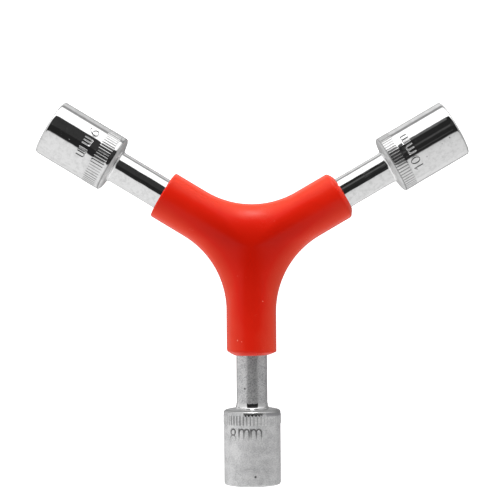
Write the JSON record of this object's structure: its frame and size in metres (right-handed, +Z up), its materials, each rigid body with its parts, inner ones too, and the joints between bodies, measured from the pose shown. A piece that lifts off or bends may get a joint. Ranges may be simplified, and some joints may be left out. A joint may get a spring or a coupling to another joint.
{
  "type": "y wrench",
  "caption": "Y-shaped socket wrench that lies flat: steel arms joined under a moulded red grip, each ending in a chromed hexagon socket of its own metric size.",
  "frame": {"origin": "the point where the axes of the arms meet, at half height, which is also the centre of the solids' volume to within a quarter of a millimetre", "axes": "the tool lies flat in XY with +Z up; the 8 mm arm points along -Y, the 10 mm arm 30 degrees from +X and the 9 mm arm 148.5 degrees from +X"},
  "size_m": [0.1065, 0.0944, 0.0147],
  "materials": {
    "red_plastic": "satin moulded plastic, smooth, with fine specks and faint scratches",
    "chrome": "bright plate over turned steel, with small pits and light scratches",
    "weld_steel": "bare weld metal, hidden under the grip"
  },
  "bodies": {
    "root": {"grip": "red_plastic", "rod_10mm": "chrome", "socket_10mm": "chrome", "braze_fillet_10mm": "chrome", "rod_9mm": "chrome", "socket_9mm": "chrome", "braze_fillet_9mm": "chrome", "rod_8mm": "chrome", "socket_8mm": "chrome", "braze_fillet_8mm": "chrome", "weld_bead_upper": "weld_steel", "weld_bead_left": "weld_steel", "weld_bead_right": "weld_steel"}
  },
  "joints": []
}
